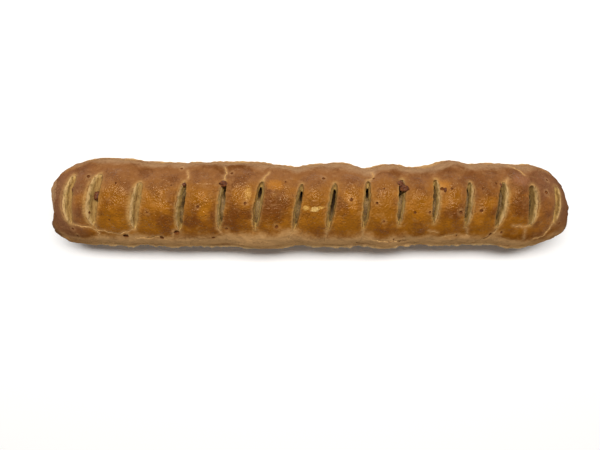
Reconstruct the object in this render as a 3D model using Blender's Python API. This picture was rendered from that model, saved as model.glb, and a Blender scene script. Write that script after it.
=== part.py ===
"""A whole, uncut sausage roll: a long pastry case around a core of sausage meat.

The baker wraps a sheet of pastry round the meat, closes both ends, lays the roll on a tray
with the join underneath, and slashes the top crosswise.  In the oven the pastry swells
between the slashes, the slashes gape until the meat shows, and the foot settles flat.

Frame: +X along the roll, +Y to the back, +Z up.  The origin is under the middle of the
roll, on the surface that it rests on.
"""

import math

import bmesh
import bpy

MM = 0.001

# The cross-section: half widths to the front and the back, the crest, the level where the roll
# is widest, and how square the rounding is over the top and towards the foot.  The foot would
# sink a little below the tray, which presses it flat.
FRONT_REACH = 24.3 * MM
BACK_REACH = 24.3 * MM
CREST = 38.5 * MM
WIDEST_LEVEL = 11.0 * MM
TOP_POWER = 2.15
FOOT_POWER = 3.0
FOOT_SINK = 0.8 * MM

# The closed ends: how far from the tip each one reaches its full section, and how blunt it is,
# in plan, over the top and under the foot.  The tip itself lies at one level.
LENGTH = 300 * MM
TIP_LEVEL = 14 * MM
PLAN_REACH = {"left": 30 * MM, "right": 36 * MM}
PLAN_BLUNTNESS = {"left": 2.8, "right": 2.5}
OVER_REACH = 26 * MM
OVER_BLUNTNESS = 2.5
UNDER_REACH = 11 * MM
UNDER_BLUNTNESS = 2.6

# The right end was closed askew, so that it reaches furthest a little to the front.
ASKEW = 0.22
ASKEW_REACH = 40 * MM
ASKEW_EASE = 1.5
ASKEW_PIVOT = -8 * MM

# Swells and hollows of the long sides: place along the roll, height and spread, in millimetres.
SIDE_SWELLS = {
    "back": (
        (-118, 2.6, 19),
        (-45, 1.2, 14),
        (-8, -2.4, 12),
        (33, -2.9, 9),
        (66, -2.2, 12),
        (82, 1.6, 7),
    ),
    "front": (
        (-122, -0.7, 16),
        (-23, 2.6, 9),
        (18, 1.7, 10),
        (43, 2.2, 7),
        (77, 0.6, 7),
        (121, 1.6, 8),
    ),
}

# The slashes as the knife made them, in millimetres: place along the roll, middle across it, how
# far the back end lies to the right of the front end, length, width of the gaping mouth, and
# how far its middle bows to the right.
SLASHES = (
    (-134.0, 2.2, 3.2, 27, 6.4, -1.2),
    (-119.2, 1.3, 4.2, 29, 8.0, -0.8),
    (-96.2, -2.0, 3.8, 26, 6.6, -0.4),
    (-71.8, -2.5, 3.6, 28, 5.6, 0),
    (-49.4, -1.7, 3.2, 27, 5.2, 0),
    (-29.0, -2.0, 4.2, 27, 5.4, 0),
    (-7.4, -3.1, 4.6, 26, 5.0, 0),
    (11.4, -2.8, 4.0, 27, 5.4, 0),
    (30.6, -1.7, 2.6, 27, 5.0, 0),
    (49.8, -0.3, 1.6, 26, 5.0, 0),
    (68.8, 0.2, 1.6, 25, 5.0, 0),
    (86.8, -1.7, 1.8, 25, 5.2, 0),
    (104.8, -2.0, 3.0, 25, 6.4, 0.3),
    (121.6, -2.0, 0.8, 22, 6.2, 0.4),
    (135.6, -1.6, 0.8, 20, 5.0, 0.9),
)

# Most slashes go through the pastry; those near the ends stop short of the meat.  A slash tapers
# in width and in depth from its middle to its two ends, which stay just open.
BLIND_SLASHES = (0, 1, 2, 14)
BLIND_DEPTH = 3.4 * MM
OPEN_DEPTH = 7.6 * MM
SLASH_FLOOR = 1.5 * MM
WIDTH_TAPER = 0.7
DEPTH_TAPER = 0.4
SLASH_END = 0.999
SLASH_STEPS = 8
KNIFE_CLEARANCE = 3 * MM

# The pastry swells between the slashes and stays low beside them.
PILLOW_RISE = 0.7 * MM
PILLOW_SPREAD = 6 * MM

# The pastry's thickness at the sides and the ends, and the play between it and the meat.
WALL = 5.0 * MM
END_WALL = 12.0 * MM
PLAY = 0.3 * MM

# How finely each round is divided: points over the top and under the foot of a ring, then steps
# along each end and along the middle.
SKIN_DIVISIONS = (18, 10, 7, 56)
CORE_DIVISIONS = (12, 8, 5, 26)

# The looks of the two parts.
CRUST_BROWN = (0.36, 0.14, 0.03)
MEAT_BROWN = (0.16, 0.09, 0.045)
CRISP_ANGLE = math.radians(40)


def bell(distance, spread):
    """A smooth bump: 1 at its middle and near 0 past twice its spread."""
    return math.exp(-((distance / spread) ** 2))


def opening(depth, reach, bluntness):
    """How far a closed end has opened at a depth from its tip: 0 at the tip, 1 past its reach."""
    short = 1 - min(max(depth / reach, 0.0), 1.0)
    return (1 - short**bluntness) ** (1 / bluntness)


def side_reach(x, side):
    """The half width of the roll on one side, before its ends close."""
    reach = BACK_REACH if side == "back" else FRONT_REACH
    for place, height, spread in SIDE_SWELLS[side]:
        reach += height * MM * bell(x - place * MM, spread * MM)
    return reach


def pillow(x):
    """The swell of the crest at a place along the roll."""
    beside = max(bell(x - place * MM, PILLOW_SPREAD) for place, *_ in SLASHES)
    return PILLOW_RISE * (1 - 2 * beside)


def section_point(x, angle, inset):
    """A point of the full cross-section, moved in by an inset, as y and z.

    The angle starts at the back, passes the crest at a quarter turn and the foot at three.
    """
    across, up = math.cos(angle), math.sin(angle)
    reach = side_reach(x, "back" if across > 0 else "front") - inset
    if up > 0:
        rise, power = CREST - WIDEST_LEVEL - inset, TOP_POWER
    else:
        rise, power = WIDEST_LEVEL + FOOT_SINK - inset, FOOT_POWER
    radius = (abs(across / reach) ** power + abs(up / rise) ** power) ** (-1 / power)
    if inset == 0:
        radius += pillow(x) * max(up, 0.0) ** 2
    return radius * across, WIDEST_LEVEL + radius * up


def close_ends(x, y, z, end_inset):
    """Draws a section's point in towards the tip where it lies in one of the closed ends."""
    half_length = LENGTH / 2 - end_inset
    for end, depth in (("left", half_length + x), ("right", half_length - x)):
        y *= opening(depth, PLAN_REACH[end], PLAN_BLUNTNESS[end])
        if z > TIP_LEVEL:
            share = opening(depth, OVER_REACH, OVER_BLUNTNESS)
        else:
            share = opening(depth, UNDER_REACH, UNDER_BLUNTNESS)
        z = TIP_LEVEL + (z - TIP_LEVEL) * share
    into_end = max(1 - (LENGTH / 2 - x) / ASKEW_REACH, 0.0)
    return x - ASKEW * into_end**ASKEW_EASE * (y - ASKEW_PIVOT), y, z


def round_point(x, angle, inset, end_inset):
    """A point of the roll's skin, or of a smaller round that lies inside it."""
    y, z = section_point(x, angle, inset)
    x, y, z = close_ends(x, y, z, end_inset)
    return x, y, max(z, inset)


def stations(half_length, end_steps, middle_steps):
    """Places of the rings along a round, closer together towards its two tips."""
    quarter_turns = [math.pi / 2 * step / end_steps for step in range(1, end_steps + 1)]
    depths = [OVER_REACH * (1 - math.cos(turn)) for turn in quarter_turns]
    left = [depth - half_length for depth in depths]
    straight = half_length - OVER_REACH
    middle = [straight * (2 * step / middle_steps - 1) for step in range(1, middle_steps)]
    right = [half_length - depth for depth in reversed(depths)]
    return left + middle + right


def make_round(name, inset, end_inset, divisions):
    """A closed round with the roll's form: rings along it, drawn together at both tips."""
    over, under, end_steps, middle_steps = divisions
    half_length = LENGTH / 2 - end_inset
    turns = [math.pi * point / over for point in range(over)]
    turns += [math.pi * (1 + point / under) for point in range(under)]
    ring_points = len(turns)
    shape = bmesh.new()
    rings = [
        [shape.verts.new(round_point(x, angle, inset, end_inset)) for angle in turns]
        for x in stations(half_length, end_steps, middle_steps)
    ]
    for ring, following in zip(rings, rings[1:]):
        for point in range(ring_points):
            after = (point + 1) % ring_points
            shape.faces.new((ring[point], ring[after], following[after]))
            shape.faces.new((ring[point], following[after], following[point]))
    for ring, tip_x in ((rings[0], -half_length), (rings[-1], half_length)):
        tip = shape.verts.new(close_ends(tip_x, 0.0, TIP_LEVEL, end_inset))
        for point in range(ring_points):
            shape.faces.new((ring[point], ring[(point + 1) % ring_points], tip))
    return finish_mesh(name, shape)


def make_slash_cutters():
    """The gaping slashes: lens-shaped in plan, and narrowing from the skin down to the floor."""
    shape = bmesh.new()
    for number, slash in enumerate(SLASHES):
        place, middle, lean, length, mouth, bow = (size * MM for size in slash)
        full_depth = BLIND_DEPTH if number in BLIND_SLASHES else OPEN_DEPTH
        sections = []
        for step in range(SLASH_STEPS + 1):
            along = SLASH_END * math.sin(math.pi * (step / SLASH_STEPS - 0.5))
            fullness = (1 - along**2) ** WIDTH_TAPER
            x = place + lean / 2 * along + bow * (1 - along**2)
            y = middle + length / 2 * along
            skin = skin_height(x, y)
            depth = full_depth * (1 - along**2) ** DEPTH_TAPER
            floor_half = SLASH_FLOOR / 2 * fullness
            mouth_half = mouth / 2 * fullness
            top_half = mouth_half + (mouth_half - floor_half) * KNIFE_CLEARANCE / full_depth
            sections.append(
                [
                    shape.verts.new((x - top_half, y, skin + KNIFE_CLEARANCE)),
                    shape.verts.new((x - floor_half, y, skin - depth)),
                    shape.verts.new((x + floor_half, y, skin - depth)),
                    shape.verts.new((x + top_half, y, skin + KNIFE_CLEARANCE)),
                ]
            )
        for section, following in zip(sections, sections[1:]):
            for corner in range(4):
                after = (corner + 1) % 4
                shape.faces.new((section[corner], section[after], following[after], following[corner]))
        shape.faces.new(sections[0])
        shape.faces.new(sections[-1])
    return finish_mesh("slash_cutters", shape)


def skin_height(x, y):
    """The height of the skin over a place on the top of the roll."""
    reach = side_reach(x, "back" if y > 0 else "front")
    rise = CREST - WIDEST_LEVEL + pillow(x)
    z = WIDEST_LEVEL + rise * (1 - abs(y / reach) ** TOP_POWER) ** (1 / TOP_POWER)
    return close_ends(x, 0.0, z, 0.0)[2]


def finish_mesh(name, shape):
    """Turns the built shape into an object whose faces point outwards."""
    bmesh.ops.recalc_face_normals(shape, faces=shape.faces[:])
    mesh = bpy.data.meshes.new(name)
    shape.to_mesh(mesh)
    shape.free()
    part = bpy.data.objects.new(name, mesh)
    bpy.context.scene.collection.objects.link(part)
    return part


def paint(part, colour, roughness):
    """Gives a part its own material, and smooth shading with crisp cut edges."""
    material = bpy.data.materials.new(part.name)
    material.use_nodes = True
    surface = material.node_tree.nodes["Principled BSDF"]
    surface.inputs["Base Color"].default_value = (*colour, 1.0)
    surface.inputs["Roughness"].default_value = roughness
    surface.inputs["Metallic"].default_value = 0.0
    part.data.materials.append(material)
    part.data.shade_smooth()
    part.data.set_sharp_from_angle(angle=CRISP_ANGLE)


def cut(part, cutter):
    """Takes a cutter's space out of a part."""
    cutter.hide_render = True
    cutter.display_type = "WIRE"
    boolean = part.modifiers.new(cutter.name, "BOOLEAN")
    boolean.operation = "DIFFERENCE"
    boolean.object = cutter


def make_pastry():
    """The browned case: the skin less the space for the meat and the fifteen slashes."""
    pastry = make_round("pastry", 0.0, 0.0, SKIN_DIVISIONS)
    paint(pastry, CRUST_BROWN, 0.35)
    cut(pastry, make_round("meat_space", WALL, END_WALL, CORE_DIVISIONS))
    cut(pastry, make_slash_cutters())
    return pastry


def make_filling():
    """The sausage meat, which runs through the roll inside the pastry."""
    filling = make_round("filling", WALL + PLAY, END_WALL + PLAY, CORE_DIVISIONS)
    paint(filling, MEAT_BROWN, 0.55)
    return filling


def clear_scene():
    for part in list(bpy.data.objects):
        bpy.data.objects.remove(part, do_unlink=True)


clear_scene()
make_pastry()
make_filling()
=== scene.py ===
"""The looks of a whole sausage roll: glazed and browned pastry, slashed across the top, around
its meat.  Lengths are in metres unless a name or a comment says millimetres.
"""

import math

import bmesh
import bpy
import numpy as np
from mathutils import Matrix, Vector, kdtree, noise
from mathutils.bvhtree import BVHTree


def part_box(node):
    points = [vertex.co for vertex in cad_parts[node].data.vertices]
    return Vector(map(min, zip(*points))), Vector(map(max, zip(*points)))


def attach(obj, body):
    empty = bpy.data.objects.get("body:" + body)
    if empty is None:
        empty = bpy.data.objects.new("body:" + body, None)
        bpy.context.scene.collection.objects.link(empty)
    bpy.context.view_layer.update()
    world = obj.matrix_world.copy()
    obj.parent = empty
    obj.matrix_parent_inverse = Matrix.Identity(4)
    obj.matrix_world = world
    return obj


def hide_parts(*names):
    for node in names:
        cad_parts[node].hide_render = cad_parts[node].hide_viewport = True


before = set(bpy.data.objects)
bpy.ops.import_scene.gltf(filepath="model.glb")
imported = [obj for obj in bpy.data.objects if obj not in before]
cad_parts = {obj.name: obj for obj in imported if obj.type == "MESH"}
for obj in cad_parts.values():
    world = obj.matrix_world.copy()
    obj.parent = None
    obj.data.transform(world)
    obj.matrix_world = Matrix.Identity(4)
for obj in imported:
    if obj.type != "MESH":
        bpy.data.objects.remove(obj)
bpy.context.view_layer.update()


# ---------------------------------------------------------------------------------------------
# The table, the light and the camera.
# A wide white table under a long soft lamp, which hangs over the roll and a little behind it.
# The camera looks straight down from a forearm's length above.
# ---------------------------------------------------------------------------------------------

MM = 0.001
TABLE_HALF = 3.0
TABLE_WHITE = (0.93, 0.93, 0.935)

CAMERA_PLACE = (-6.1 * MM, -12.9 * MM, 311 * MM)
CAMERA_LENS_MM = 29.94

# Each lamp: name, place, the point it faces, length and width, power in watts and colour.
LAMPS = (
    ("lamp_overhead", (0.0, 0.39, 1.15), (0.0, 0.0, 0.02), 1.4, 0.36, 20.5, (1.0, 0.985, 0.96)),
)
ROOM_COLOUR = (1.0, 0.975, 0.94)
ROOM_STRENGTH = 0.16


def add_to_scene(item, data):
    """Makes an object of its data, links it and returns it."""
    made = bpy.data.objects.new(item, data)
    bpy.context.scene.collection.objects.link(made)
    return made


def plain_surface(name, colour, roughness):
    """A material of one colour, with its Principled shader."""
    material = bpy.data.materials.new(name)
    material.use_nodes = True
    shader = material.node_tree.nodes["Principled BSDF"]
    shader.inputs["Base Color"].default_value = (*colour, 1.0)
    shader.inputs["Roughness"].default_value = roughness
    return material


def make_table():
    outline = bmesh.new()
    bmesh.ops.create_grid(outline, x_segments=1, y_segments=1, size=TABLE_HALF)
    mesh = bpy.data.meshes.new("table_top")
    outline.to_mesh(mesh)
    outline.free()
    mesh.materials.append(plain_surface("white_table", TABLE_WHITE, 0.6))
    add_to_scene("table_top", mesh)


def aim(item, place, target):
    """Puts a lamp at its place and turns it to face its target."""
    item.location = place
    facing = Vector(target) - Vector(place)
    item.rotation_euler = facing.to_track_quat("-Z", "Y").to_euler()


def make_lamps():
    for name, place, target, length, width, power, colour in LAMPS:
        lamp = bpy.data.lights.new(name, "AREA")
        lamp.shape = "RECTANGLE"
        lamp.size = length
        lamp.size_y = width
        lamp.energy = power
        lamp.color = colour
        aim(add_to_scene(name, lamp), place, target)
    room = bpy.data.worlds.new("pale_room")
    room.use_nodes = True
    background = room.node_tree.nodes["Background"]
    background.inputs["Color"].default_value = (*ROOM_COLOUR, 1.0)
    background.inputs["Strength"].default_value = ROOM_STRENGTH
    bpy.context.scene.world = room


def make_camera():
    lens = bpy.data.cameras.new("camera_overhead")
    lens.lens = CAMERA_LENS_MM
    lens.sensor_width = 36.0
    lens.clip_start = 0.01
    camera = add_to_scene("camera_overhead", lens)
    camera.location = CAMERA_PLACE
    bpy.context.scene.camera = camera


make_table()
make_lamps()
make_camera()
bpy.context.scene.view_settings.view_transform = "Standard"


# ---------------------------------------------------------------------------------------------
# The pastry's form.
# One sheet of pastry is wrapped round the meat, closed at both ends and laid on its join.
# It has the rounding, the side swells and the blunt ends of the solid in the frame.
# ---------------------------------------------------------------------------------------------

pastry_low, pastry_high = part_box("pastry")

HALF_LENGTH = -pastry_low.x
FOOT_SINK = 0.8 * MM
SIDE_REACH = 24.3 * MM
FRONT_SWELL = 1.1
PILLOW_RISE = 0.7 * MM
PILLOW_SPREAD = 6 * MM
CREST = pastry_high.z - PILLOW_RISE
WIDEST_LEVEL = 11.0 * MM
TOP_POWER = 2.15
FOOT_POWER = 3.0

# The ends: how far in from the tip each reaches its full section, and how blunt it is.
TIP_LEVEL = 14 * MM
PLAN_CLOSING = {
    "left": {"back": (30 * MM, 3.3), "front": (26 * MM, 3.9)},
    "right": {"back": (34 * MM, 2.9), "front": (30 * MM, 2.8)},
}
OVER_CLOSING = (26 * MM, 2.5)
UNDER_CLOSING = (11 * MM, 2.6)
SIDE_EASE = 16 * MM
ASKEW = 0.22
ASKEW_REACH = 40 * MM
ASKEW_EASE = 1.5
ASKEW_PIVOT = -8 * MM

# Swells and hollows of the two long sides: place, height and spread in millimetres.
BACK_SWELLS = (
    (-118, 2.6, 19),
    (-45, 0.9, 14),
    (-8, -2.6, 12),
    (33, -3.1, 9),
    (62, -3.0, 13),
    (82, 1.8, 7),
    (94, -0.9, 6),
    (122, -1.0, 6),
)
FRONT_SWELLS = (
    (0, FRONT_SWELL, 400),
    (-122, -0.7, 16),
    (-75, 0.8, 10),
    (-36, 0.9, 7),
    (-23, 1.8, 9),
    (18, 1.1, 10),
    (43, 1.5, 7),
    (62, -0.7, 8),
    (90, -1.0, 8),
    (104, -1.0, 7),
    (120, 1.0, 8),
)

# The slashes, in millimetres: place along the roll, middle across it, how far the back end
# lies to the right of the front end, length, width of the mouth, how far the middle bows to
# the right, and how far the floor leans to the right of the mouth.
SLASHES = (
    (-132.8, 1.4, 1.2, 26.5, 6.9, -1.4, 1.3),
    (-119.2, 1.3, 4.2, 28, 7.6, -0.8, 1.3),
    (-96.2, -2.0, 3.8, 25, 6.2, -0.4, 1.1),
    (-71.8, -2.5, 3.6, 26, 5.0, 0.0, 1.0),
    (-49.4, -1.7, 3.0, 25, 4.2, 0.0, 0.9),
    (-29.0, -2.0, 4.0, 26, 4.8, 0.0, -0.6),
    (-7.4, -3.1, 4.4, 24.5, 4.0, 0.0, 0.9),
    (11.4, -2.8, 3.8, 25, 4.5, 0.0, 0.7),
    (30.6, -1.7, 2.4, 26, 4.2, 0.0, 0.3),
    (49.8, -0.3, 1.6, 25, 4.2, 0.0, -0.4),
    (68.8, 0.2, 1.6, 24, 4.3, 0.0, -0.9),
    (86.8, -1.7, 1.8, 24, 4.5, 0.0, -0.8),
    (104.8, -2.0, 3.0, 24, 5.8, 0.3, -1.3),
    (121.6, -2.0, 0.8, 21.5, 5.6, 0.4, -1.2),
    (135.6, -1.6, 0.8, 20, 5.0, 0.9, -0.3),
)
BLIND_SLASHES = (0, 1, 2, 14)
BLIND_DEPTH = 3.4 * MM
OPEN_DEPTH = 6.6 * MM
SLASH_FLOOR = 1.1 * MM
BACK_TAPER = 0.22
FRONT_TAPER = 0.40
DEPTH_TAPER = 0.4


def bell(distance, spread):
    """A smooth bump: 1 at its middle and near 0 past twice its spread."""
    return np.exp(-((distance / spread) ** 2))


def eased(share):
    """A share of the way, held between 0 and 1 and eased at both ends."""
    share = np.clip(share, 0.0, 1.0)
    return share * share * (3 - 2 * share)


def opening(depth, closing):
    """How far a closed end has opened at a depth from its tip."""
    reach, bluntness = closing
    short = 1 - np.clip(depth / reach, 0.0, 1.0)
    return (1 - short**bluntness) ** (1 / bluntness)


def swollen_reach(x, swells):
    """The half width of the roll on one side, before its ends close."""
    return SIDE_REACH + sum(
        height * MM * bell(x - place * MM, spread * MM) for place, height, spread in swells
    )


def pillow(x):
    """The swell of the crest at a place along the roll."""
    beside = np.max([bell(x - slash[0] * MM, PILLOW_SPREAD) for slash in SLASHES], axis=0)
    return PILLOW_RISE * (1 - 2 * beside)


def close_ends(x, y, z, end_inset):
    """Draws a section's point in towards the tip where it lies in one of the closed ends."""
    half_length = HALF_LENGTH - end_inset
    for end, depth in (("left", half_length + x), ("right", half_length - x)):
        back, front = (opening(depth, PLAN_CLOSING[end][side]) for side in ("back", "front"))
        y = y * (front + (back - front) * eased(y / SIDE_EASE + 0.5))
        share = np.where(z > TIP_LEVEL, opening(depth, OVER_CLOSING), opening(depth, UNDER_CLOSING))
        z = TIP_LEVEL + (z - TIP_LEVEL) * share
    into_end = np.maximum(1 - (HALF_LENGTH - x) / ASKEW_REACH, 0.0)
    return x - ASKEW * into_end**ASKEW_EASE * (y - ASKEW_PIVOT), y, z


def round_surface(x, angle, inset, end_inset):
    """Points of the roll's skin, or of a smaller round inside it, as x, y and z.

    The angle starts at the back, passes the crest at a quarter turn and the foot at three.
    """
    across, up = np.cos(angle), np.sin(angle)
    reach = np.where(across > 0, swollen_reach(x, BACK_SWELLS), swollen_reach(x, FRONT_SWELLS)) - inset
    rise = np.where(up > 0, CREST - WIDEST_LEVEL, WIDEST_LEVEL + FOOT_SINK) - inset
    power = np.where(up > 0, TOP_POWER, FOOT_POWER)
    radius = (np.abs(across / reach) ** power + np.abs(up / rise) ** power) ** (-1 / power)
    if inset == 0:
        radius = radius + pillow(x) * np.maximum(up, 0.0) ** 2
    x, y, z = close_ends(x, radius * across, WIDEST_LEVEL + radius * up, end_inset)
    return x, y, np.maximum(z, inset)


# ---------------------------------------------------------------------------------------------
# The slashes.
# A knife cut the raw pastry crosswise before baking, and the cuts gaped in the oven.  Their
# lips are torn unevenly and stand a little proud.
# ---------------------------------------------------------------------------------------------

MOUTH_SHARE = 0.92
TORN_EDGE = 0.30 * MM
TORN_KNOTS = np.linspace(-30, 30, 61) * MM
torn_edges = np.random.default_rng(11).uniform(-1, 1, (len(SLASHES), 2, len(TORN_KNOTS)))

# Past its ends, the rings of mesh that followed a slash spread out evenly again.
RELAXING = 0.6
RELAXED = {1: 0.6 * MM, 2: 4.4 * MM}
NARROWEST = {1: 0.15 * MM, 2: 0.6 * MM}
LIP_BAND = 1.4 * MM


def slash_at(number, y):
    """A slash at each y: middles of its mouth and floor, the mouth's two half widths (left and
    right), the floor's half width, and the depth.  All widths are 0 past its ends."""
    place, middle, lean, length, mouth, bow, heel = (size * MM for size in SLASHES[number])
    along = (y - middle) / (length / 2)
    inside = np.clip(1 - along**2, 0.0, 1.0)
    centre = place + lean / 2 * np.clip(along, -1.2, 1.2) + bow * inside
    fullness = inside ** np.where(along > 0, BACK_TAPER, FRONT_TAPER)
    torn = [np.interp(y, TORN_KNOTS, edge) * TORN_EDGE for edge in torn_edges[number]]
    halves = [
        np.maximum(mouth / 2 * MOUTH_SHARE * fullness + edge * fullness, 0.0) for edge in torn
    ]
    depth = (BLIND_DEPTH if number in BLIND_SLASHES else OPEN_DEPTH) * inside**DEPTH_TAPER
    return centre, centre + heel * fullness, halves, SLASH_FLOOR / 2 * fullness, depth


def track_line(number, side, part, y):
    """Where a line of the mesh runs beside a slash: part 1 is the edge of the floor, 2 the lip
    and 3 the outside of the lip; side is -1 for the left and 1 for the right."""
    place, middle, _, length, *_ = (size * MM for size in SLASHES[number])
    centre, floor_middle, halves, floor_half, _ = slash_at(number, y)
    beyond = eased((np.abs(y - middle) / (length / 2) - 1) / RELAXING)
    if part == 1:
        start, half = floor_middle, np.maximum(floor_half, NARROWEST[1])
    else:
        start, half = centre, np.maximum(halves[(side + 1) // 2], NARROWEST[2])
    half = half * (1 - beyond) + RELAXED[min(part, 2)] * beyond
    if part == 3:
        half = half + LIP_BAND
    start = start * (1 - beyond) + place * beyond
    into_end = max(1 - (HALF_LENGTH - place) / ASKEW_REACH, 0.0)
    return start + side * half + ASKEW * into_end**ASKEW_EASE * (y - ASKEW_PIVOT)


# How many rings of mesh lie in each stretch: the ends, the lips, the walls and the floor.
END_RINGS = 16
LIP_RINGS = 3
WALL_RINGS = 8
FLOOR_RINGS = 2
GAP_CELL = 0.9 * MM

# Round the skin, from the back over the crest to the front and under: how many points lie in
# each part and the angle at which it ends.  They are closest along the torn edges of the sheet.
ROUND_PARTS = (
    (15, 0.32),
    (80, math.pi - 0.32),
    (15, math.pi),
    (8, math.pi + 0.45),
    (9, 2 * math.pi - 0.45),
    (8, 2 * math.pi),
)


def mesh_stretches():
    """The stretches of mesh along the roll: each is the two lines that it lies between, as
    number, side and part of a slash or None for a tip, and the shares at which its rings run."""
    corner = math.pi / 2
    fan = [1 - math.cos(corner * ring / END_RINGS) for ring in range(1, END_RINGS)]
    stretches = [(None, (0, -1, 3), fan)]
    for number in range(len(SLASHES)):
        lines = [(number, -1, 3), (number, -1, 2), (number, -1, 1)]
        lines += [(number, 1, 1), (number, 1, 2), (number, 1, 3)]
        counts = [LIP_RINGS, WALL_RINGS, FLOOR_RINGS, WALL_RINGS, LIP_RINGS]
        if number + 1 < len(SLASHES):
            pitch = (SLASHES[number + 1][0] - SLASHES[number][0]) * MM
            lines.append((number + 1, -1, 3))
            counts.append(round((pitch - 2 * (RELAXED[2] + LIP_BAND) + 4.5 * MM) / GAP_CELL))
        for start, end, count in zip(lines, lines[1:], counts):
            stretches.append((start, end, [ring / count for ring in range(count)]))
    last = (len(SLASHES) - 1, 1, 3)
    stretches.append((last, None, [0.0] + [1 - share for share in reversed(fan)]))
    return stretches


def ring_places(stretches, y):
    """The x of every ring at its own points' y, before the right end's askew closing."""
    x = np.empty_like(y)
    row = 0
    for start, end, shares in stretches:
        rows = slice(row, row + len(shares))
        left = -HALF_LENGTH if start is None else track_line(*start, y[rows])
        right = HALF_LENGTH if end is None else track_line(*end, y[rows])
        x[rows] = left + (right - left) * np.array(shares)[:, None]
        row += len(shares)
    return x


def rough(points, size, seed):
    """Smooth uneven noise, from about -1 to 1, at each point of an array."""
    shift = Vector((seed * 7.3, seed * 3.1, seed * 5.7))
    scaled = (points.reshape(-1, 3) / size).tolist()
    values = [noise.noise(Vector(point) + shift) for point in scaled]
    return np.array(values).reshape(points.shape[:-1])


# The skin isn't smooth: broad unevenness, small dimples, and the folds of the two ends.
# Each unevenness is its size and depth.
UNEVENNESS = ((18 * MM, 0.9 * MM, 1), (7 * MM, 0.55 * MM, 2), (2.6 * MM, 0.24 * MM, 3))
LIP_SWELL = 0.30 * MM
LIP_SWELL_PLACE = 1.0 * MM
LIP_SWELL_SPREAD = 0.9 * MM
LIP_ROUNDING = 0.35 * MM
LIP_HALO = 0.8 * MM
WIDE_HALO = 1.3 * MM

# The lip on one side of a slash is paler: the left up to this slash, then the right.
FIRST_RIGHT_SEEN = 10
WALL_RIDGES = 0.55 * MM

# Towards the ends of the roll the outer wall of a slash starts with a gently sloping shelf.
SHELF_FULL = 75 * MM
SHELF_WIDTH = 0.36
SHELF_DROP = 0.38

stretches = mesh_stretches()
ring_count = sum(len(shares) for *_, shares in stretches)
part_ends = [0.0] + [end for _, end in ROUND_PARTS]
turns = np.concatenate(
    [
        np.linspace(start, end, count, endpoint=False)
        for start, (count, end) in zip(part_ends, ROUND_PARTS)
    ]
)
angle = np.broadcast_to(turns, (ring_count, len(turns)))
y = SIDE_REACH * np.cos(angle)
for _ in range(4):
    ring_x = ring_places(stretches, y)
    x, y, z = round_surface(ring_x, angle, 0.0, 0.0)
skin = np.stack([x, y, z], axis=-1)

along_step = np.gradient(skin, axis=0)
around_step = np.roll(skin, -1, axis=1) - np.roll(skin, 1, axis=1)
outwards = np.cross(around_step, along_step)
outwards /= np.linalg.norm(outwards, axis=-1, keepdims=True) + 1e-12
over = eased((z - 4 * MM) / (10 * MM))

# Unevenness goes inwards from the solid's surface, so that the roll keeps its size.
dip = np.zeros_like(z)
for size, depth, seed in UNEVENNESS:
    dip += depth * (rough(skin, size, seed) - 0.1) / 1.1
skin = skin + outwards * (dip * (0.35 + 0.65 * over))[..., None]

# Low on the sides, where the egg didn't reach, the dough dried into folds along the roll.
FOLD_SIZE = 3.2 * MM
FOLD_DEPTH = 0.45 * MM
folds = rough(skin * np.array([0.24, 1.0, 1.3]), FOLD_SIZE, 6)
z = skin[..., 2]
on_side = eased((27 * MM - z) / (8 * MM)) * eased((z - 1.5 * MM) / (3 * MM))
skin = skin + outwards * ((folds - 0.5) * FOLD_DEPTH * on_side)[..., None]

# The edge of the pastry sheet: a torn ledge low along both sides, its height on the two sides,
# how far it stands out, how far up it fades into the skin and how far down it drops.
EDGE_LEVELS = (16.4 * MM, 14.0 * MM)
EDGE_OUT = (1.5 * MM, 0.75 * MM)
EDGE_FADE = 1.9 * MM
EDGE_DROP = 0.5 * MM
x, y, z = skin[..., 0], skin[..., 1], skin[..., 2]
back = y > 0
edge_path = np.stack([x, np.where(back, 40 * MM, -40 * MM), np.zeros_like(x)], axis=-1)
tear = rough(edge_path, 2.3 * MM, 5)
edge_level = np.where(back, EDGE_LEVELS[1], EDGE_LEVELS[0])
edge_level = edge_level + rough(edge_path, 15 * MM, 12) * 1.8 * MM + tear * 0.5 * MM
standing = np.clip(0.70 + 0.6 * tear + 0.5 * rough(edge_path, 9 * MM, 14), 0.25, 1.2)
standing = standing * (1 - eased((np.abs(x) - 126 * MM) / (14 * MM)))
above = z - edge_level
ledge = np.where(above > 0, bell(above, EDGE_FADE), eased(1 + above / EDGE_DROP))
out_reach = np.where(back, EDGE_OUT[1], EDGE_OUT[0])
skin = skin + outwards * (ledge * standing * out_reach)[..., None]
torn_edge = bell(above - 0.4 * MM, 1.0 * MM) * np.clip(standing * 1.4, 0.0, 1.0)

# The left tip is pressed in where the sheet was tucked under, and bulges beside that: the
# place across the roll, the spread and the depth of each.
TIP_DENTS = ((-6 * MM, 4.5 * MM, 1.0 * MM), (-17 * MM, 4.5 * MM, -1.6 * MM), (5 * MM, 9 * MM, -1.0 * MM))
at_tip = eased((-140 * MM - skin[..., 0]) / (8 * MM))
for dent_place, dent_spread, dent_depth in TIP_DENTS:
    skin[..., 0] += bell(skin[..., 1] - dent_place, dent_spread) * at_tip * dent_depth

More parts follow.
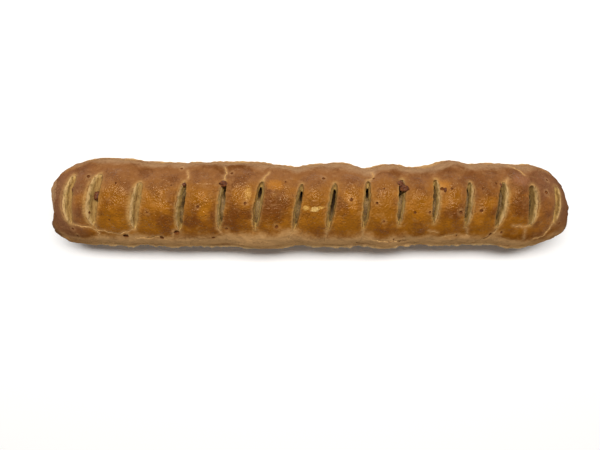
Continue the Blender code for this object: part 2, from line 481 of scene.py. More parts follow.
# Both ends were pinched shut, which leaves shallow pleats that run in to the tip.
PLEAT_SIZE = 0.24
PLEAT_DEPTH = 1.0 * MM
PLEAT_MIDDLE = -3 * MM
x, y, z = skin[..., 0], skin[..., 1], skin[..., 2]
round_tip = np.arctan2(z - TIP_LEVEL, y - PLEAT_MIDDLE)
pleat_path = np.stack([np.cos(round_tip), np.sin(round_tip), np.sign(x) * 3], axis=-1)
from_middle = np.hypot(y - PLEAT_MIDDLE, z - TIP_LEVEL)
pinched = eased((np.abs(x) - 134 * MM) / (12 * MM)) * eased((from_middle - 2 * MM) / (6 * MM))
pinched = pinched * eased((34 * MM - z) / (7 * MM))
pleats = rough(pleat_path, PLEAT_SIZE, 31) + 0.5 * rough(skin, 4 * MM, 32)
skin = skin + outwards * ((pleats - 0.25) * PLEAT_DEPTH * pinched)[..., None]

# The attributes that the finish reads: how open the pastry is, how deep below the lips, how
# near outside a lip.
cut_open = np.zeros_like(z)
cut_depth = np.zeros_like(z)
lip_near = np.zeros_like(z)
pillow_near = np.ones_like(z)
on_top = skin[..., 2] > TIP_LEVEL
flaky = rough(skin * np.array([2.6, 0.8, 0.6]), 2.2 * MM, 8)
for number in range(len(SLASHES)):
    x, y, z = skin[..., 0], skin[..., 1], skin[..., 2]
    centre, floor_middle, halves, floor_half, full_depth = slash_at(number, y)
    left = x < floor_middle
    lip_x = np.where(left, centre - halves[0], centre + halves[1])
    floor_x = np.where(left, floor_middle - floor_half, floor_middle + floor_half)
    inward = np.where(left, 1.0, -1.0)
    wall_span = np.maximum(inward * (floor_x - lip_x), 1e-6)
    from_lip = inward * (x - lip_x)
    sunk = np.clip(from_lip / wall_span, 0.0, 1.0)
    inside = on_top & (full_depth > 0) & (from_lip > 0)
    outer_side = np.where(left, -1.0, 1.0) * SLASHES[number][0] * MM
    shelf = np.clip(outer_side / SHELF_FULL, 0.0, 1.0)
    stepped = SHELF_DROP * sunk + (1 - SHELF_DROP) * eased((sunk - SHELF_WIDTH) / 0.35)
    down = np.where(inside, full_depth * (shelf * stepped + (1 - shelf) * sunk), 0.0)
    rounding = np.where(inside, np.clip(from_lip / LIP_ROUNDING, 0.0, 1.0), 0.0)
    ridges = WALL_RIDGES * flaky * np.sin(math.pi * np.clip(sunk, 0, 1)) * rounding
    place, middle, _, length, *_ = (size * MM for size in SLASHES[number])
    beside = eased(1.25 - np.abs(y - middle) / (length / 2) * 0.9 + 0.1)
    gap = np.where(inside, 0.0, -from_lip)
    near_lip = np.where(on_top, beside * bell(gap - LIP_SWELL_PLACE, LIP_SWELL_SPREAD), 0.0)
    near_lip = np.where((full_depth > 0) & ~inside, near_lip, 0.0)
    skin[..., 2] += near_lip * LIP_SWELL - down
    skin[..., 0] += np.where(inside, ridges, 0.0)
    cut_open = np.maximum(cut_open, rounding)
    cut_depth = np.maximum(cut_depth, down)
    outer_lip = left if number < FIRST_RIGHT_SEEN else ~left
    paleness = np.where(outer_lip, 1.0, 0.5) * (1 - 0.35 * eased((y - middle) / length + 0.5))
    spread = WIDE_HALO if number in BLIND_SLASHES else LIP_HALO
    if number in (0, len(SLASHES) - 1):
        paleness = paleness * 0.6
    halo = np.where((full_depth > 0) & ~inside & on_top, paleness * bell(gap, spread), 0.0)
    end_gap = np.hypot((x - centre) / 1.2, np.maximum(np.abs(y - middle) - length / 2, 0.0))
    past_end = (full_depth <= 0) & on_top & (np.abs(y - middle) < length / 2 + 6 * MM)
    halo = np.maximum(halo, np.where(past_end, bell(end_gap, 1.3 * MM), 0.0))
    lip_near = np.maximum(lip_near, halo)
    pillow_near = np.minimum(pillow_near, eased((np.abs(x - centre) / MM - 3.0) / 5.0))

# The visual skin stays inside the frame's box.
top_limit = pastry_high.z - 0.02 * MM
side_limit = pastry_high.y - 0.02 * MM
skin[..., 2] = np.clip(skin[..., 2], 0.0, top_limit)
skin[..., 1] = np.clip(skin[..., 1], -side_limit, side_limit)
skin[..., 0] = np.clip(skin[..., 0], pastry_low.x + 0.02 * MM, pastry_high.x - 0.02 * MM)


def closed_round(name, rings, tips):
    """A closed mesh object of rings of points, drawn together at the two tips."""
    ring_total, ring_points = rings.shape[:2]
    points = np.concatenate([rings.reshape(-1, 3), np.array(tips)])
    first = np.arange(ring_total - 1)[:, None] * ring_points
    place = np.arange(ring_points)[None, :]
    after = (place + 1) % ring_points
    quads = np.stack(
        [first + place, first + after, first + ring_points + after, first + ring_points + place],
        axis=-1,
    ).reshape(-1, 4)
    last = (ring_total - 1) * ring_points
    tip = ring_total * ring_points
    fans = [(tip, int(after[0, p]), p) for p in range(ring_points)]
    fans += [(tip + 1, last + p, last + int(after[0, p])) for p in range(ring_points)]
    mesh = bpy.data.meshes.new(name)
    mesh.from_pydata(points.tolist(), [], quads.tolist() + fans)
    mesh.validate()
    return add_to_scene(name, mesh)


def tip_point(side, end_inset):
    x, y, z = close_ends(np.array(side * (HALF_LENGTH - end_inset)), np.array(0.0), TIP_LEVEL, end_inset)
    return float(x), float(y), float(z)


crust = closed_round("pastry_crust", skin, [tip_point(-1, 0.0), tip_point(1, 0.0)])
print("crust quads", len(crust.data.polygons))


# ---------------------------------------------------------------------------------------------
# The hollow inside the pastry.
# The meat's juices and steam leave a smooth, pale, moist wall around it.
# ---------------------------------------------------------------------------------------------

WALL = 5.0 * MM
END_WALL = 12.0 * MM


def inner_rings(inset, end_inset, ring_total, over_points, under_points):
    """Rings of a smaller round inside the skin, closer together towards its tips."""
    half = HALF_LENGTH - end_inset
    stations = -half * np.cos(np.linspace(0, math.pi, ring_total + 2)[1:-1])
    stations = 0.25 * stations + 0.75 * np.linspace(-half, half, ring_total + 2)[1:-1]
    inner_turns = np.concatenate(
        [
            np.linspace(0, math.pi, over_points, endpoint=False),
            np.linspace(math.pi, 2 * math.pi, under_points, endpoint=False),
        ]
    )
    station_grid, turn_grid = np.meshgrid(stations, inner_turns, indexing="ij")
    return np.stack(round_surface(station_grid, turn_grid, inset, end_inset), axis=-1)


hollow = closed_round(
    "meat_hollow",
    inner_rings(WALL, END_WALL, 90, 24, 12),
    [tip_point(-1, END_WALL), tip_point(1, END_WALL)],
)
hollow_faces = bmesh.new()
hollow_faces.from_mesh(hollow.data)
bmesh.ops.triangulate(hollow_faces, faces=hollow_faces.faces[:])
hollow_faces.to_mesh(hollow.data)
hollow_faces.free()



# ---------------------------------------------------------------------------------------------
# The finish of the pastry.
# Brushed with egg, baked golden brown, darker in patches and dull where the egg didn't
# reach.  The torn walls of the slashes are pale, layered and matte.
# ---------------------------------------------------------------------------------------------


def paint(red, green, blue):
    """A colour given as it looks on a screen, from 0 to 255, as the shader takes it."""
    shares = (red / 255, green / 255, blue / 255)
    linear = [c / 12.92 if c <= 0.04045 else ((c + 0.055) / 1.055) ** 2.4 for c in shares]
    return (*linear, 1.0)


class Wire:
    """An output of a shader node: arithmetic on it adds Math nodes, and add() any other."""

    def __init__(self, socket):
        self.socket = socket

    def add(self, kind, settings=None, inputs=None, output=0):
        """Adds a node: its settings first, then the values or links of its inputs."""
        tree = self.socket.id_data
        node = tree.nodes.new(kind)
        for name, setting in (settings or {}).items():
            if name == "stops":
                for stop in setting[2:]:
                    node.color_ramp.elements.new(stop[0])
                for element, (place, colour) in zip(node.color_ramp.elements, setting):
                    element.position = place
                    element.color = colour
            else:
                setattr(node, name, setting)
        for name, given in (inputs or {}).items():
            if isinstance(given, Wire):
                tree.links.new(given.socket, node.inputs[name])
            else:
                node.inputs[name].default_value = given
        return Wire(node.outputs[output])

    def math(self, operation, one, other=0.0, clamped=False):
        settings = {"operation": operation, "use_clamp": clamped}
        return self.add("ShaderNodeMath", settings, {0: one, 1: other})

    def __add__(self, other):
        return self.math("ADD", self, other)

    def __radd__(self, other):
        return self.math("ADD", other, self)

    def __sub__(self, other):
        return self.math("SUBTRACT", self, other)

    def __rsub__(self, other):
        return self.math("SUBTRACT", other, self)

    def __mul__(self, other):
        return self.math("MULTIPLY", self, other)

    def __rmul__(self, other):
        return self.math("MULTIPLY", other, self)

    def __truediv__(self, other):
        return self.math("DIVIDE", self, other)

    def __pow__(self, other):
        return self.math("POWER", self, other)

    def between(self, low, high):
        """0 below low and 1 above high, or the other way round, eased in between."""
        limits = {0: self, 1: min(low, high), 2: max(low, high)}
        limits |= {3: 0.0, 4: 1.0} if low < high else {3: 1.0, 4: 0.0}
        return self.add("ShaderNodeMapRange", {"interpolation_type": "SMOOTHSTEP"}, limits)

    def blend(self, one, other):
        """From one colour to the other as this goes from 0 to 1."""
        return self.add("ShaderNodeMix", {"data_type": "RGBA"}, {0: self, 6: one, 7: other}, 2)

    def noise(self, size, detail=2.0, roughness=0.5, shift=0.0):
        """Smooth noise about 0.5 with features of a size in millimetres, at this place."""
        place = self.add("ShaderNodeVectorMath", {"operation": "ADD"}, {0: self, 1: (shift,) * 3})
        settings = {"noise_dimensions": "3D"}
        values = {"Vector": place, "Scale": 1 / size, "Detail": detail, "Roughness": roughness}
        return self.add("ShaderNodeTexNoise", settings, values)

    def cells(self, size, softness=0.4, shift=0.0):
        """Distance from the middle of the nearest cell, about 0 to 0.7, at this place."""
        place = self.add("ShaderNodeVectorMath", {"operation": "ADD"}, {0: self, 1: (shift,) * 3})
        values = {"Vector": place, "Scale": 1 / size, "Smoothness": softness}
        return self.add("ShaderNodeTexVoronoi", {"feature": "SMOOTH_F1"}, values)

    def bump(self, height, below=None):
        """The normal bent by this height, which goes from 0 to 1 over so many millimetres."""
        values = {"Strength": 1.0, "Distance": height * MM, "Height": self}
        if below is not None:
            values["Normal"] = below
        return self.add("ShaderNodeBump", None, values)


def new_finish(name):
    """A material: itself, its shader's inputs, and the place on the piece in millimetres."""
    material = bpy.data.materials.new(name)
    material.use_nodes = True
    shader = material.node_tree.nodes["Principled BSDF"]
    coordinates = material.node_tree.nodes.new("ShaderNodeTexCoord")
    place = Wire(coordinates.outputs["Object"])
    place = place.add(
        "ShaderNodeVectorMath", {"operation": "SCALE"}, {0: place, "Scale": 1 / MM}
    )
    return material, shader.inputs, place


def feed(socket, given):
    """Gives a shader's socket its value or its link."""
    if isinstance(given, Wire):
        given.socket.id_data.links.new(given.socket, socket)
    else:
        socket.default_value = given


BRIGHT_GOLD = paint(164, 102, 20)
GOLDEN = paint(144, 89, 16)
AMBER = paint(128, 74, 14)
CHESTNUT = paint(100, 54, 20)
BACK_SHEEN_TAN = paint(140, 93, 53)
DULL_TAN_AND_FILL_LIGHT = paint(218, 172, 116)
BACK_DULL_SHEEN = paint(170, 134, 98)
RIM_TAN_AND_LIGHT = paint(234, 202, 148)
SIDE_TAN = paint(206, 162, 102)
SIDE_SHADE = paint(184, 136, 80)
SIDE_GOLD = paint(188, 130, 62)
SIDE_BROWN = paint(140, 88, 44)
FOOT_BROWN = paint(118, 70, 32)
END_BROWN = paint(126, 88, 64)
LIP_TAN = paint(196, 154, 92)
WALL_TAN = paint(192, 156, 104)
WALL_OLIVE = paint(198, 164, 98)
LAYER_LINES_AND_DEEP_SHADE = paint(124, 94, 48)
HEEL_BROWN = paint(124, 86, 46)
GLINT_TINT = (1.0, 0.67, 0.38, 1.0)

# Spots that the egg missed, or that caught: x, y and two half sizes in millimetres, how ragged
# and how strong, and the colour.
SPOTS = (
    (1.8, -4.3, 2.6, 1.3, 8.0, 0.75, paint(218, 182, 112)),
    (-2.9, -3.6, 1.6, 1.2, 7.0, 0.7, paint(206, 162, 84)),
    (5.2, -3.4, 2.4, 0.7, 7.0, 0.6, paint(206, 162, 84)),
    (-34.5, 4.5, 1.8, 3.4, 6.0, 0.6, paint(200, 150, 74)),
    (116.0, 12.0, 5.0, 3.5, 3.0, 0.5, paint(150, 100, 70)),
    (-148.0, -15.0, 5.0, 7.0, 2.0, 0.7, paint(80, 52, 34)),
    (-147.0, 4.0, 5.0, 10.0, 5.0, 0.55, paint(194, 156, 114)),
    (148.0, -10.0, 4.5, 13.0, 2.0, 0.6, paint(92, 60, 42)),
    (142.0, 13.0, 6.0, 8.0, 3.0, 0.5, paint(96, 64, 46)),
    (141.0, 0.0, 8.0, 18.0, 2.0, 0.60, paint(100, 66, 46)),
    (-59.0, -7.0, 3.5, 4.0, 3.0, 0.45, paint(184, 118, 24)),
    (-20.0, 9.0, 5.0, 3.0, 3.0, 0.45, paint(190, 122, 40)),
    (72.0, 9.0, 5.0, 3.0, 3.0, 0.45, paint(190, 124, 44)),
    (92.0, -8.0, 3.5, 5.0, 3.0, 0.35, paint(176, 112, 30)),
)


def baked_crust():
    material, dull_shader, place = new_finish("baked_crust")
    axes = [place.add("ShaderNodeSeparateXYZ", None, {0: place}, axis) for axis in range(3)]
    along, across, level = axes
    cut = place.add("ShaderNodeAttribute", {"attribute_name": "cut_open"}, None, 2)
    depth = place.add("ShaderNodeAttribute", {"attribute_name": "cut_depth"}, None, 2)
    lip = place.add("ShaderNodeAttribute", {"attribute_name": "lip_near"}, None, 2)
    pillow_top = place.add("ShaderNodeAttribute", {"attribute_name": "pillow_near"}, None, 2)

    # The skin: patches of lighter and darker bake, paler and greyer to the back as a painted
    # sheen from the lamp behind, dull low on the sides.
    broad = place.noise(26.0, 1.0, 0.5)
    patchy = place.noise(9.0, 2.0, 0.45, 40.0)
    fine = place.noise(1.3, 3.0, 0.6, 80.0)
    speckled = place.noise(0.5, 2.0, 0.6, 120.0)
    colour = (broad * 0.6 + patchy * 0.4).between(0.36, 0.64).blend(GOLDEN, AMBER)
    # Painted sheen: towards the back the crust is blended to a paler, greyer tan, as the lamp behind it
    # would light it.
    colour = (across + (patchy - 0.5) * 16.0).between(-1.0, 16.0).blend(colour, BACK_SHEEN_TAN)
    brighter = place.noise(6.0, 1.0, 0.4, 150.0).between(0.50, 0.66) * level.between(30.0, 34.0)
    colour = (brighter * across.between(10.0, 2.0) * 0.5).blend(colour, BRIGHT_GOLD)
    darker = (patchy * 0.5 + broad * 0.4 + fine * 0.1).between(0.44, 0.62)
    colour = (darker * 0.7).blend(colour, CHESTNUT)
    # Painted light: the lower front of the crest is blended towards bright gold, to lift the shade that
    # falls there.
    front_painted_light = level.between(35.0, 31.0) * across.between(-6.0, -12.0)
    colour = (front_painted_light * 0.3).blend(colour, BRIGHT_GOLD)
    to_end = (along.math("ABSOLUTE", along) + (broad - 0.5) * 30.0).between(116.0, 144.0)
    colour = (to_end * 0.75).blend(colour, END_BROWN)
    sheen_end = level + (broad - 0.5) * 4.0 + (patchy - 0.5) * 8.0 + (fine - 0.5) * 4.0
    front_rise = ((along + 18.0).math("ABSOLUTE", along + 18.0) - 85.0) * 0.032
    back_rise = (60.0 - along) * 0.015
    sheen_end = sheen_end + front_rise + (back_rise - front_rise) * across.between(-8.0, 8.0)
    dull = sheen_end.between(31.5, 25.5)
    # Where the egg didn't reach the crust is a dull tan.  On the front this tan is painted paler than
    # the dough, painted light where the lamp behind leaves it in shade; on the back it is a greyer tan,
    # a painted sheen.
    low_tone = across.between(-8.0, 8.0).blend(DULL_TAN_AND_FILL_LIGHT, BACK_DULL_SHEEN)
    colour = (dull * (0.62 + fine * 0.36) * (1 - to_end * 0.45)).blend(colour, low_tone)

    # Low on the sides: pale dough in layers, its torn edge palest, browned again at the foot.  The
    # torn edge is painted paler than the dough, most on the front, as light on a ledge in shade.
    lengthwise = place.add(
        "ShaderNodeVectorMath", {"operation": "MULTIPLY"}, {0: place, 1: (0.22, 0.8, 1.1)}
    )
    layers = lengthwise.noise(2.4, 4.0, 0.65, 130.0)
    side = layers.between(0.36, 0.68).blend(SIDE_TAN, SIDE_SHADE)
    side = ((patchy * 0.7 + fine * 0.3).between(0.48, 0.64) * 0.7).blend(side, SIDE_GOLD)
    low = (level + (patchy - 0.5) * 10.0 + (fine - 0.5) * 5.0).between(22.0, 13.0)
    colour = (low * (0.85 - to_end * 0.55)).blend(colour, side)
    caught = lengthwise.noise(3.4, 3.0, 0.6, 140.0).between(0.52, 0.68) * level.between(25.0, 19.0)
    colour = (caught * 0.5).blend(colour, SIDE_BROWN)
    foot = (level + (patchy - 0.5) * 9.0 + (fine - 0.5) * 3.0).between(7.0, 0.5)
    colour = (foot * 0.85).blend(colour, FOOT_BROWN)
    end_mottle = layers.between(0.46, 0.62) * to_end * level.between(32.0, 26.0)
    colour = (end_mottle * 0.5).blend(colour, SIDE_GOLD)
    torn = place.add("ShaderNodeAttribute", {"attribute_name": "torn_edge"}, None, 2)
    # Painted light: the torn edge is blended to a very pale tan, fully on the front and half on the
    # back, so that it shows as lit although the lamp behind leaves it in shade.
    torn = torn * across.between(4.0, -4.0).math("MAXIMUM", across.between(4.0, -4.0), 0.5)
    colour = (torn * (0.5 + fine * 0.8)).blend(colour, RIM_TAN_AND_LIGHT)
    crack = place.add("ShaderNodeAttribute", {"attribute_name": "crack_near"}, None, 2)
    colour = (crack * 0.42).blend(colour, DULL_TAN_AND_FILL_LIGHT)
    pit = place.add("ShaderNodeAttribute", {"attribute_name": "pit_near"}, None, 2)
    colour = (pit * fine * 0.4).blend(colour, DULL_TAN_AND_FILL_LIGHT)
    edge = lip * (0.3 + fine * 0.9)
    colour = edge.math("MINIMUM", edge, 0.92).blend(colour, LIP_TAN)
    grain = (speckled.between(0.30, 0.70) * 0.5 + fine.between(0.3, 0.7) * 0.5) * 0.26
    colour = grain.blend(colour, CHESTNUT)
    mottled = place.noise(2.8, 3.0, 0.6, 160.0)
    colour = (mottled.between(0.54, 0.68) * 0.22).blend(colour, CHESTNUT)
    colour = (mottled.between(0.44, 0.34) * 0.08).blend(colour, DULL_TAN_AND_FILL_LIGHT)
    dark_web = place.noise(7.0, 3.0, 0.55, 170.0) - 0.5
    dark_web = dark_web.math("ABSOLUTE", dark_web).between(0.016, 0.0) * patchy.between(0.42, 0.55)
    colour = (dark_web * 0.28).blend(colour, CHESTNUT)
    pale_web = place.noise(8.0, 3.0, 0.55, 180.0) - 0.5
    pale_web = pale_web.math("ABSOLUTE", pale_web).between(0.014, 0.0) * broad.between(0.45, 0.55)
    colour = (pale_web * 0.12).blend(colour, LIP_TAN)
    for x, y, half_x, half_y, raggedness, strength, tone in SPOTS:
        offset = ((along - x) / half_x) ** 2.0 + ((across - y) / half_y) ** 2.0
        spot = (offset + (fine * 0.6 + speckled * 0.4 - 0.5) * raggedness).between(1.6, 0.0)
        colour = (spot * strength).blend(colour, tone)

    # The walls of the slashes: bright near the lip, then olive, with the edges of layers, and a
    # painted shade at their deepest.
    uneven = place.noise(2.6, 3.0, 0.6, 17.0)
    drawn_out = place.add(
        "ShaderNodeVectorMath", {"operation": "MULTIPLY"}, {0: place, 1: (2.2, 0.5, 1.8)}
    )
    streaks = drawn_out.noise(1.7, 3.0, 0.6, 23.0)
    wall = (depth + (uneven - 0.5) * 2.4).between(0.4, 1.8).blend(WALL_TAN, WALL_OLIVE)
    wall = (streaks.between(0.46, 0.66) * 0.75).blend(wall, LAYER_LINES_AND_DEEP_SHADE)
    wall = (speckled.between(0.5, 0.7) * 0.25).blend(wall, LAYER_LINES_AND_DEEP_SHADE)
    wall = (depth.between(1.0, 2.2) * along.between(-84.0, -90.0) * 0.6).blend(wall, HEEL_BROWN)
    wall = (depth.between(1.0, 2.2) * along.between(98.0, 103.0) * 0.45).blend(wall, HEEL_BROWN)
    # Painted shade: the deepest part of each wall is darkened a little, where less light reaches down.
    wall = (depth.between(3.6, 6.0) * 0.2).blend(wall, LAYER_LINES_AND_DEEP_SHADE)
    colour = cut.blend(colour, wall)

    # Where the egg took, the crust is glossy over small blisters.  Elsewhere it is matte.
    glazed = (level + (patchy - 0.5) * 6.0).between(30.0, 36.0) * (1 - cut) * (1 - to_end)
    blistered = place.noise(5.0, 1.0, 0.5, 60.0).between(0.34, 0.52)
    bubbled = place.noise(1.05, 1.0, 0.35, 90.0)
    relief = (patchy + mottled * 0.4 - dark_web * 0.3 - pale_web * 0.3).bump(0.4)
    glossy_relief = bubbled.bump(0.48, relief)
    relief = fine.bump(0.22, relief)
    relief = (streaks * cut).bump(0.25, relief)
    relief = (layers * dull * (1 - cut)).bump(0.5, relief)

    tree = material.node_tree
    glossy = tree.nodes.new("ShaderNodeBsdfPrincipled")
    for shader in (dull_shader, glossy.inputs):
        feed(shader["Base Color"], colour)
    dull_shader["Roughness"].default_value = 0.9
    dull_shader["Specular IOR Level"].default_value = 0.0
    feed(dull_shader["Normal"], relief)
    feed(glossy.inputs["Roughness"], 0.50 - blistered * pillow_top * 0.36)
    glossy.inputs["Specular IOR Level"].default_value = 0.24
    glossy.inputs["Specular Tint"].default_value = GLINT_TINT
    feed(glossy.inputs["Normal"], glossy_relief)
    mixed = glazed.add(
        "ShaderNodeMixShader",
        None,
        {0: glazed, 1: Wire(tree.nodes["Principled BSDF"].outputs[0]), 2: Wire(glossy.outputs[0])},
    )
    tree.links.new(mixed.socket, tree.nodes["Material Output"].inputs["Surface"])
    return material


crust.data.materials.append(baked_crust())


# ---------------------------------------------------------------------------------------------
# Cracks and pores.
# The glaze tears where the pastry swells, and shows the pale dough in thin wandering cracks.
# Steam bubbles burst into small dark pits all over the skin.
# ---------------------------------------------------------------------------------------------

# Each crack: half its width in millimetres, then the places that it passes, as x and y.
CRACKS = (
    (0.42, (-133, -12), (-129, -13), (-124, -14), (-121, -15), (-119, -17), (-121, -21)),
    (0.36, (-120, -13), (-120, -15), (-113, -17), (-108, -18), (-104, -17), (-98, -15)),
    (0.40, (-103, -17), (-101, -20), (-91, -20), (-85, -19), (-81, -21), (-78, -20), (-76, -16)),
    (0.25, (-52, -15), (-50, -17)),
    (0.34, (-9, -16), (-12, -19), (-14, -23)),
    (0.30, (9, -16), (8, -19), (8, -23)),
    (0.24, (29, -16), (29, -20), (28, -23)),
    (0.46, (29, -20), (34, -21), (38, -22), (43, -22), (49, -22), (58, -21)),
    (0.26, (66, -16), (71, -17)),
    (0.34, (72, -21), (76, -19), (82, -18)),
    (0.22, (87, -15), (89, -20)),
    (0.46, (104, -14), (103, -17), (101, -20), (97, -22), (92, -24)),
    (0.18, (112, -13), (117, -14), (121, -13)),
    (0.20, (119, -15), (121, -21)),
    (0.40, (136, -2), (135, -7), (134, -12), (133, -15), (131, -19), (126, -21)),
    (0.24, (-69, 18), (-68, 13)),
    (0.30, (-49, 20), (-47, 16), (-48, 12)),
    (0.36, (-23, 17), (-26, 14), (-27, 11)),
    (0.26, (35, 17), (35, 14), (33, 12)),
    (0.34, (113, 21), (117, 18), (119, 15)),
    (0.22, (107, 9), (109, 13)),
)

# The deepest cracks are painted dark inside, as the shade down in them.
DEEP_CRACKS = (
    (0.30, (104, -14.6), (102.5, -17), (100, -19.5), (96, -22)),
    (0.28, (42, -22), (46, -22.4), (50, -22.2), (56, -21.6)),
    (0.20, (80, -18.6), (83, -18.2)),
    (0.22, (-89.5, -19.6), (-87, -19.0)),
    (0.24, (34.5, 19.4), (37, 20.4), (40, 21.0), (45, 21.2), (50, 20.6)),
)
CRACK_WIDENING = 1.0
CRACK_STEP = 0.7 * MM
CRACK_WANDER = 0.75 * MM
CRACK_WANDER_SIZE = 1.5 * MM

# The pits that stand out: x and y, and the radius, all in millimetres.
PITS = (
    (-107, 10, 0.7), (-90, -6, 0.8), (-62, -3, 0.8), (-73, 19, 0.8), (-44, 16, 0.8),
    (-75, -17, 1.4), (-84, -20, 1.3), (-104, -19, 1.5), (-55, -20, 1.0), (-47, -15, 0.8),
    (-133, -15, 0.8), (-132, -19, 0.8), (-123, 14, 0.9), (-122, -6, 0.8), (-111, -10, 0.5),
    (-77, 9, 0.5), (-36, -1, 0.9), (-14, 11, 0.6), (-19, -14, 1.1), (7, 13, 0.9),
    (22, 1, 1.2), (35, 13, 0.7), (36, -1, 0.9), (40, -11, 0.8), (43, -17, 0.5),
    (40, 7, 0.6), (27, -23, 0.8), (63, 16, 0.5), (65, -6, 0.8), (57, -6, 0.7),
    (72, 7, 1.2), (77, 7, 0.7), (82, -6, 1.2), (93, -5, 0.9), (94, 7, 0.7),
    (129, 5, 1.0), (131, 12, 0.8), (139, -12, 0.8), (102, 10, 0.7), (101, -18, 0.9),
    (107, -17, 0.8), (51, -22, 0.7), (47, -21, 0.6), (82, -19, 0.6),
)  # fmt: skip
PIT_SINK = 0.25


def on_skin(tree, x, y):
    """The point of the skin over a place, and its normal."""
    point, normal, *_ = tree.ray_cast(Vector((x, y, 0.1)), Vector((0, 0, -1)))
    return point, normal


def edge_line_mesh(name, lines):
    """A mesh of edges only, through each line of points."""
    points, edges = [], []
    for line in lines:
        edges += [(len(points) + step, len(points) + step + 1) for step in range(len(line) - 1)]
        points += line
    mesh = bpy.data.meshes.new(name)
    mesh.from_pydata(points, edges, [])
    return mesh


def new_node_tree(name, sizes):
    """A Geometry Nodes tree with a named input for each size: its incoming sockets by name,
    the first of them the geometry, and a function that ends it with what it makes."""
    tree = bpy.data.node_groups.new(name, "GeometryNodeTree")
    tree.interface.new_socket("Base", in_out="INPUT", socket_type="NodeSocketGeometry")
    tree.interface.new_socket("Made", in_out="OUTPUT", socket_type="NodeSocketGeometry")
    for size in sizes:
        tree.interface.new_socket(size, in_out="INPUT", socket_type="NodeSocketFloat")
    group_input = tree.nodes.new("NodeGroupInput")
    wires = {socket.name: Wire(socket) for socket in group_input.outputs if socket.name}

    def end(made, material):
        made = made.add("GeometryNodeRealizeInstances", None, {0: made})
        made = made.add("GeometryNodeSetMaterial", None, {0: made, "Material": material})
        tree.links.new(made.socket, tree.nodes.new("NodeGroupOutput").inputs[0])
        return tree

    return wires, end


def grown(piece, tree, sizes):
    """Runs a Geometry Nodes tree on a piece, with its sizes given by name, and keeps the mesh."""
    modifier = piece.modifiers.new(tree.name, "NODES")
    modifier.node_group = tree
    for item in tree.interface.items_tree:
        if item.in_out == "INPUT" and item.name in sizes:
            modifier[item.identifier] = sizes[item.name]
    made_plain(piece)


def made_plain(piece):
    """Replaces a piece's modifiers by the mesh that they make."""
    graph = bpy.context.evaluated_depsgraph_get()
    mesh = bpy.data.meshes.new_from_object(piece.evaluated_get(graph))
    piece.modifiers.clear()
    old = piece.data
    piece.data = mesh
    bpy.data.meshes.remove(old)
    mesh.name = piece.name


def groove_tree(material):
    """Sweeps a tapering round groove along every line of edges."""
    wires, end = new_node_tree("crack_grooves", ["Half width", "Thinnest"])
    line = wires["Base"].add("GeometryNodeMeshToCurve", None, {0: wires["Base"]})
    share = line.add("GeometryNodeSplineParameter")
    swell = (share * (1 - share) * 4.0) ** 0.5
    own_width = line.add(
        "GeometryNodeInputNamedAttribute", {"data_type": "FLOAT"}, {"Name": "half_width"}
    )
    radius = own_width * wires["Half width"] * (wires["Thinnest"] + (1 - wires["Thinnest"]) * swell)
    ring = line.add("GeometryNodeCurvePrimitiveCircle", None, {"Resolution": 6, "Radius": 1.0})
    sweep = {"Curve": line, "Profile Curve": ring, "Scale": radius, "Fill Caps": True}
    swept = line.add("GeometryNodeCurveToMesh", None, sweep)
    return end(swept, material)


def pit_tree(material):
    """Puts an uneven ball at every point."""
    wires, end = new_node_tree("pits", ["Radius", "Unevenness"])
    points = wires["Base"].add("GeometryNodeMeshToPoints", None, {0: wires["Base"]})
    ball = points.add("GeometryNodeMeshIcoSphere", None, {"Radius": 1.0, "Subdivisions": 2})
    own_size = points.add(
        "GeometryNodeInputNamedAttribute", {"data_type": "FLOAT"}, {"Name": "pit_radius"}
    )
    stretch = points.add(
        "FunctionNodeRandomValue",
        {"data_type": "FLOAT_VECTOR"},
        {0: (0.75, 0.75, 0.75), 1: (1.25, 1.25, 1.25), "Seed": 4},
    )
    size = stretch.add(
        "ShaderNodeVectorMath",
        {"operation": "SCALE"},
        {0: stretch, "Scale": own_size * wires["Radius"]},
    )
    turn = points.add(
        "FunctionNodeRandomValue",
        {"data_type": "FLOAT_VECTOR"},
        {0: (0.0, 0.0, 0.0), 1: (6.3, 6.3, 6.3), "Seed": 9},
    )
    balls = points.add(
        "GeometryNodeInstanceOnPoints",
        None,
        {"Points": points, "Instance": ball, "Rotation": turn, "Scale": size},
    )
    return end(balls, material)


def torn_dough():
    """The pale dough inside a crack."""
    material, shader, place = new_finish("torn_dough")
    grain = place.noise(1.2, 2.0, 0.6, 5.0)
    feed(shader["Base Color"], grain.between(0.3, 0.7).blend(paint(206, 166, 108), paint(176, 132, 76)))
    shader["Roughness"].default_value = 0.9
    shader["Specular IOR Level"].default_value = 0.1
    return material


def painted_hole_shade():
    """The crisp inside of burst bubbles and deep cracks, painted dark as the shade down in them."""
    material, shader, place = new_finish("painted_hole_shade")
    grain = place.noise(0.9, 2.0, 0.6, 9.0)
    feed(shader["Base Color"], grain.between(0.3, 0.7).blend(paint(84, 44, 18), paint(120, 70, 30)))
    shader["Roughness"].default_value = 0.9
    shader["Specular IOR Level"].default_value = 0.1
    return material


skin_tree = BVHTree.FromPolygons(
    [v.co for v in crust.data.vertices], [tuple(p.vertices) for p in crust.data.polygons]
)
crack_points = []


